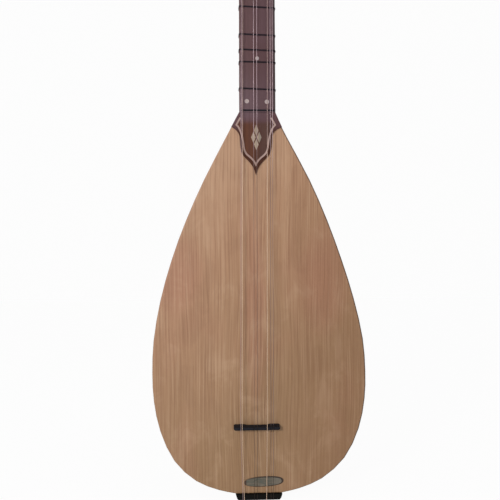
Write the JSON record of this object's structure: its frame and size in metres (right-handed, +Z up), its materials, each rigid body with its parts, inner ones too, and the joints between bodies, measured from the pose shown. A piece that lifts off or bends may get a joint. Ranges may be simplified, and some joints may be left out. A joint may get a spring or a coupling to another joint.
{
  "type": "long-neck saz",
  "caption": "Long-necked plucked lute with a staved pear-shaped bowl, flat soundboard, tied frets, friction pegs and a tilted head.",
  "frame": {"origin": "middle of the neck 12 mm below the nut, where a padded wall hanger or a hand holds it", "axes": "+Z up the neck towards the head, -Y out of the soundboard towards the player's hand, +X to the right as seen from the front, the treble side"},
  "size_m": [0.2247, 0.1964, 1.1313],
  "materials": {
    "spruce": "thin satin lacquer",
    "inner_spruce": "bare planed wood",
    "mulberry": "gloss lacquer",
    "walnut": "gloss lacquer",
    "neck_wood": "satin lacquer",
    "dark_veneer": "polished dark veneer",
    "maple_line": "light wood line",
    "pearl": "grey-green imitation pearl",
    "black_wood": "polished black",
    "bone": "bone, satin",
    "fret_nylon": "dark monofilament",
    "string_steel": "drawn steel wire",
    "string_bronze": "wound bronze over steel",
    "peg_wood": "polished dark wood"
  },
  "bodies": {
    "saz": {"soundboard": "spruce", "bowl_stave_1": "mulberry", "bowl_stave_2": "walnut", "bowl_stave_3": "mulberry", "bowl_stave_4": "walnut", "bowl_stave_5": "mulberry", "bowl_stave_6": "walnut", "bowl_stave_7": "mulberry", "bowl_stave_8": "walnut", "bowl_stave_9": "mulberry", "tail_block": "inner_spruce", "neck_block": "inner_spruce", "soundboard_brace": "inner_spruce", "neck": "neck_wood", "head": "neck_wood", "fingerboard": "dark_veneer", "neck_overlay": "dark_veneer", "inlay_line": "maple_line", "oval_plate": "pearl", "nut": "bone", "tailpiece": "black_wood", "joint_fret": "black_wood", "string_1": "string_steel", "string_2": "string_bronze", "string_3": "string_steel", "string_4": "string_steel", "string_5": "string_bronze", "string_6": "string_steel", "string_7": "string_steel"},
    "front_peg_1": {"front_peg_1": "peg_wood"},
    "front_peg_2": {"front_peg_2": "peg_wood"},
    "front_peg_3": {"front_peg_3": "peg_wood"},
    "front_peg_4": {"front_peg_4": "peg_wood"},
    "side_peg_1": {"side_peg_1": "peg_wood"},
    "side_peg_2": {"side_peg_2": "peg_wood"},
    "side_peg_3": {"side_peg_3": "peg_wood"},
    "bridge": {"bridge": "black_wood"},
    "fret_01": {"fret_01": "fret_nylon"},
    "fret_02": {"fret_02": "fret_nylon"},
    "fret_03": {"fret_03": "fret_nylon"},
    "fret_04": {"fret_04": "fret_nylon"},
    "fret_05": {"fret_05": "fret_nylon"},
    "fret_06": {"fret_06": "fret_nylon"},
    "fret_07": {"fret_07": "fret_nylon"},
    "fret_08": {"fret_08": "fret_nylon"},
    "fret_09": {"fret_09": "fret_nylon"},
    "fret_10": {"fret_10": "fret_nylon"},
    "fret_11": {"fret_11": "fret_nylon"},
    "fret_12": {"fret_12": "fret_nylon"},
    "fret_13": {"fret_13": "fret_nylon"},
    "fret_14": {"fret_14": "fret_nylon"},
    "fret_15": {"fret_15": "fret_nylon"},
    "fret_16": {"fret_16": "fret_nylon"},
    "fret_17": {"fret_17": "fret_nylon"},
    "fret_18": {"fret_18": "fret_nylon"},
    "fret_19": {"fret_19": "fret_nylon"},
    "fret_20": {"fret_20": "fret_nylon"},
    "fret_21": {"fret_21": "fret_nylon"}
  },
  "joints": [
    {"name": "front_peg_1_turn", "type": "hinge", "parent": "saz", "child": "front_peg_1", "pos_m": [0.0015, -0.00343, 0.05146], "axis": [0, -0.9781, 0.2079], "continuous": true},
    {"name": "front_peg_2_turn", "type": "hinge", "parent": "saz", "child": "front_peg_2", "pos_m": [0.0015, 0.00405, 0.08667], "axis": [0, -0.9781, 0.2079], "continuous": true},
    {"name": "front_peg_3_turn", "type": "hinge", "parent": "saz", "child": "front_peg_3", "pos_m": [0.0015, 0.01154, 0.12188], "axis": [0, -0.9781, 0.2079], "continuous": true},
    {"name": "front_peg_4_turn", "type": "hinge", "parent": "saz", "child": "front_peg_4", "pos_m": [0.0015, 0.01902, 0.1571], "axis": [0, -0.9781, 0.2079], "continuous": true},
    {"name": "side_peg_1_turn", "type": "hinge", "parent": "saz", "child": "side_peg_1", "pos_m": [-0.0141, 0.00814, 0.0674], "axis": [-1, 0, 0], "continuous": true},
    {"name": "side_peg_2_turn", "type": "hinge", "parent": "saz", "child": "side_peg_2", "pos_m": [-0.01362, 0.01562, 0.10261], "axis": [-1, 0, 0], "continuous": true},
    {"name": "side_peg_3_turn", "type": "hinge", "parent": "saz", "child": "side_peg_3", "pos_m": [-0.01314, 0.02311, 0.13783], "axis": [-1, 0, 0], "continuous": true},
    {"name": "bridge_slide", "type": "slide", "parent": "saz", "child": "bridge", "axis": [0, 0, 1], "range_m": [-0.0015, 0.006]},
    {"name": "fret_01_slide", "type": "slide", "parent": "saz", "child": "fret_01", "axis": [0, 0, 1], "range_m": [-0.003, 0.003]},
    {"name": "fret_02_slide", "type": "slide", "parent": "saz", "child": "fret_02", "axis": [0, 0, 1], "range_m": [-0.003, 0.003]},
    {"name": "fret_03_slide", "type": "slide", "parent": "saz", "child": "fret_03", "axis": [0, 0, 1], "range_m": [-0.003, 0.003]},
    {"name": "fret_04_slide", "type": "slide", "parent": "saz", "child": "fret_04", "axis": [0, 0, 1], "range_m": [-0.003, 0.003]},
    {"name": "fret_05_slide", "type": "slide", "parent": "saz", "child": "fret_05", "axis": [0, 0, 1], "range_m": [-0.003, 0.003]},
    {"name": "fret_06_slide", "type": "slide", "parent": "saz", "child": "fret_06", "axis": [0, 0, 1], "range_m": [-0.003, 0.003]},
    {"name": "fret_07_slide", "type": "slide", "parent": "saz", "child": "fret_07", "axis": [0, 0, 1], "range_m": [-0.003, 0.003]},
    {"name": "fret_08_slide", "type": "slide", "parent": "saz", "child": "fret_08", "axis": [0, 0, 1], "range_m": [-0.003, 0.003]},
    {"name": "fret_09_slide", "type": "slide", "parent": "saz", "child": "fret_09", "axis": [0, 0, 1], "range_m": [-0.003, 0.003]},
    {"name": "fret_10_slide", "type": "slide", "parent": "saz", "child": "fret_10", "axis": [0, 0, 1], "range_m": [-0.003, 0.003]},
    {"name": "fret_11_slide", "type": "slide", "parent": "saz", "child": "fret_11", "axis": [0, 0, 1], "range_m": [-0.003, 0.003]},
    {"name": "fret_12_slide", "type": "slide", "parent": "saz", "child": "fret_12", "axis": [0, 0, 1], "range_m": [-0.003, 0.003]},
    {"name": "fret_13_slide", "type": "slide", "parent": "saz", "child": "fret_13", "axis": [0, 0, 1], "range_m": [-0.003, 0.003]},
    {"name": "fret_14_slide", "type": "slide", "parent": "saz", "child": "fret_14", "axis": [0, 0, 1], "range_m": [-0.003, 0.003]},
    {"name": "fret_15_slide", "type": "slide", "parent": "saz", "child": "fret_15", "axis": [0, 0, 1], "range_m": [-0.003, 0.003]},
    {"name": "fret_16_slide", "type": "slide", "parent": "saz", "child": "fret_16", "axis": [0, 0, 1], "range_m": [-0.003, 0.003]},
    {"name": "fret_17_slide", "type": "slide", "parent": "saz", "child": "fret_17", "axis": [0, 0, 1], "range_m": [-0.003, 0.003]},
    {"name": "fret_18_slide", "type": "slide", "parent": "saz", "child": "fret_18", "axis": [0, 0, 1], "range_m": [-0.003, 0.003]},
    {"name": "fret_19_slide", "type": "slide", "parent": "saz", "child": "fret_19", "axis": [0, 0, 1], "range_m": [-0.003, 0.003]},
    {"name": "fret_20_slide", "type": "slide", "parent": "saz", "child": "fret_20", "axis": [0, 0, 1], "range_m": [-0.003, 0.003]},
    {"name": "fret_21_slide", "type": "slide", "parent": "saz", "child": "fret_21", "axis": [0, 0, 1], "range_m": [-0.003, 0.003]}
  ]
}
